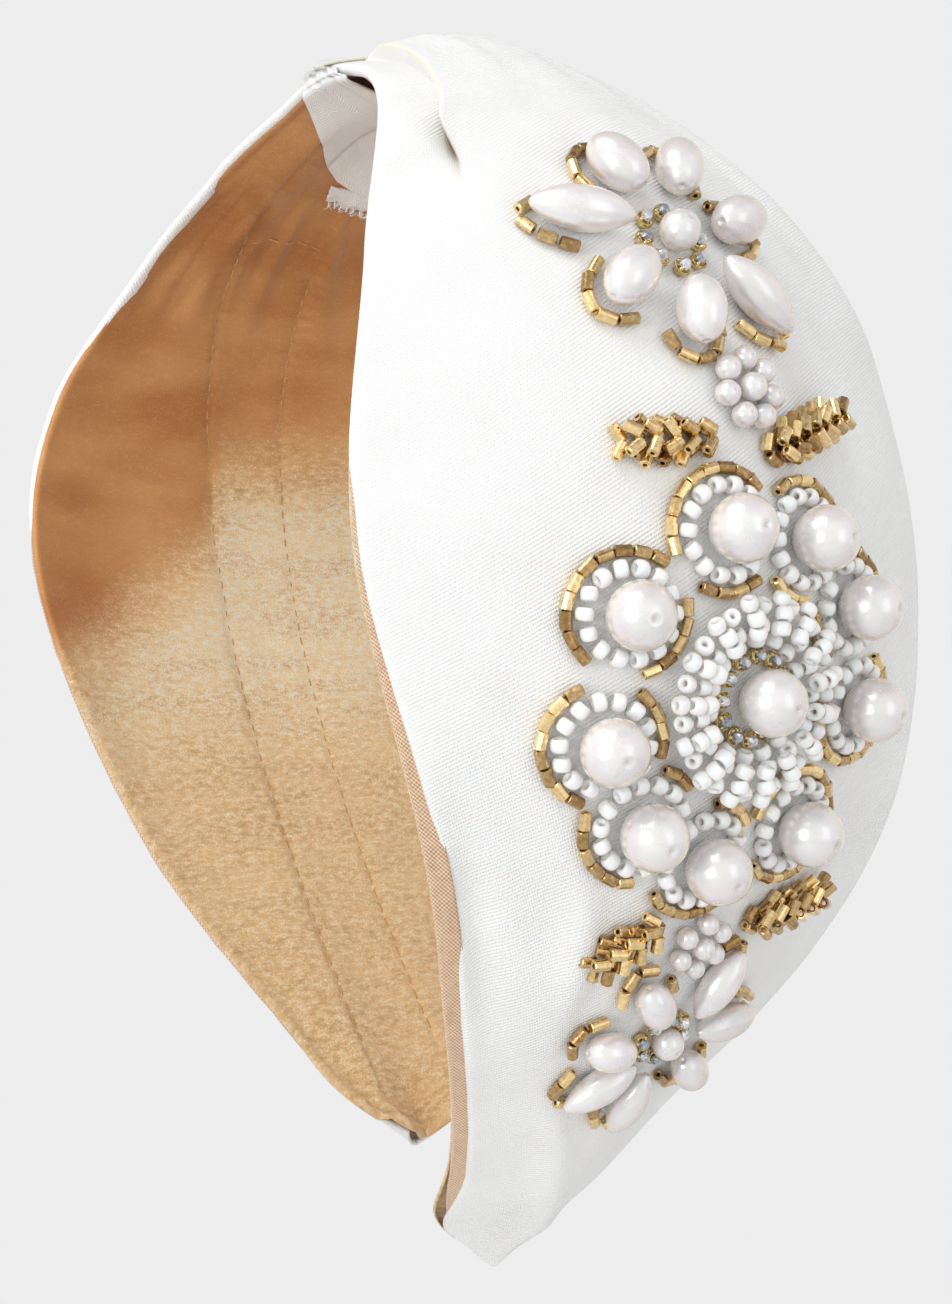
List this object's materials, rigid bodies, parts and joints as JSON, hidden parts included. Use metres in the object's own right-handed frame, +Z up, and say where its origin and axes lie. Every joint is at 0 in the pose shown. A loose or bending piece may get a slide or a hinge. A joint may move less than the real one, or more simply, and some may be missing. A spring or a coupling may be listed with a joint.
{
  "type": "headband",
  "caption": "Wide padded turban-style headband with a wrapped knot on the crown, two flexing satin arms with a gold lining, and flowers of pearls and beads on one arm.",
  "frame": {"origin": "underside of the knot in the middle of the crown, where the band rests on the head", "axes": "+Z up, +X towards the beaded arm, +Y towards the band's back edge"},
  "size_m": [0.1335, 0.0833, 0.1729],
  "materials": {
    "satin": "white satin",
    "gold_lining": "gold metallic cloth",
    "foam": "matt foam",
    "frame_steel": "bare spring strip",
    "white_thread": "twisted thread",
    "gold_thread": "twisted thread",
    "gold_tube_bead": "bright, slightly antiqued",
    "stone_cup": "bright",
    "rhinestone": "cut and foiled",
    "seed_bead": "pearl lustre",
    "pearl": "pearl lustre"
  },
  "bodies": {
    "crown": {"knot_wrap": "satin", "crown_padding": "foam", "frame_crown": "frame_steel"},
    "right_arm": {"frame_right": "frame_steel", "padding_right": "foam", "cover_right": "satin", "lining_right": "gold_lining", "hem_right": "gold_lining", "channel_stitches_right": "gold_thread", "upper_flower_centre": "pearl", "upper_flower_oval_pearls": "pearl", "upper_flower_navette_pearls": "pearl", "upper_flower_outline_tubes": "gold_tube_bead", "upper_flower_stone_cups": "stone_cup", "upper_flower_rhinestones": "rhinestone", "upper_cluster_pearls": "pearl", "upper_front_leaf_tubes": "gold_tube_bead", "upper_back_leaf_tubes": "gold_tube_bead", "petal_pearls": "pearl", "petal_seed_beads": "seed_bead", "petal_outline_tubes": "gold_tube_bead", "rosette_centre_pearl": "pearl", "rosette_stone_cups": "stone_cup", "rosette_rhinestones": "rhinestone", "rosette_seed_beads": "seed_bead", "lower_front_leaf_tubes": "gold_tube_bead", "lower_back_leaf_tubes": "gold_tube_bead", "lower_cluster_pearls": "pearl", "lower_flower_centre": "pearl", "lower_flower_oval_pearls": "pearl", "lower_flower_navette_pearls": "pearl", "lower_flower_outline_tubes": "gold_tube_bead", "lower_flower_stone_cups": "stone_cup", "lower_flower_rhinestones": "rhinestone"},
    "left_arm": {"frame_left": "frame_steel", "padding_left": "foam", "cover_left": "satin", "lining_left": "gold_lining", "hem_left": "gold_lining", "channel_stitches_left": "gold_thread", "knot_tail": "satin", "knot_stitches": "white_thread"}
  },
  "joints": [
    {"name": "right_flex", "type": "hinge", "parent": "crown", "child": "right_arm", "pos_m": [0.0151, 0, 0.00154], "axis": [0, -1, 0], "range_deg": [-3, 12], "stiffness_Nm_per_rad": 1.2},
    {"name": "left_flex", "type": "hinge", "parent": "crown", "child": "left_arm", "pos_m": [-0.01489, 0, 0.00201], "axis": [0, 1, 0], "range_deg": [-3, 12], "stiffness_Nm_per_rad": 1.2}
  ]
}
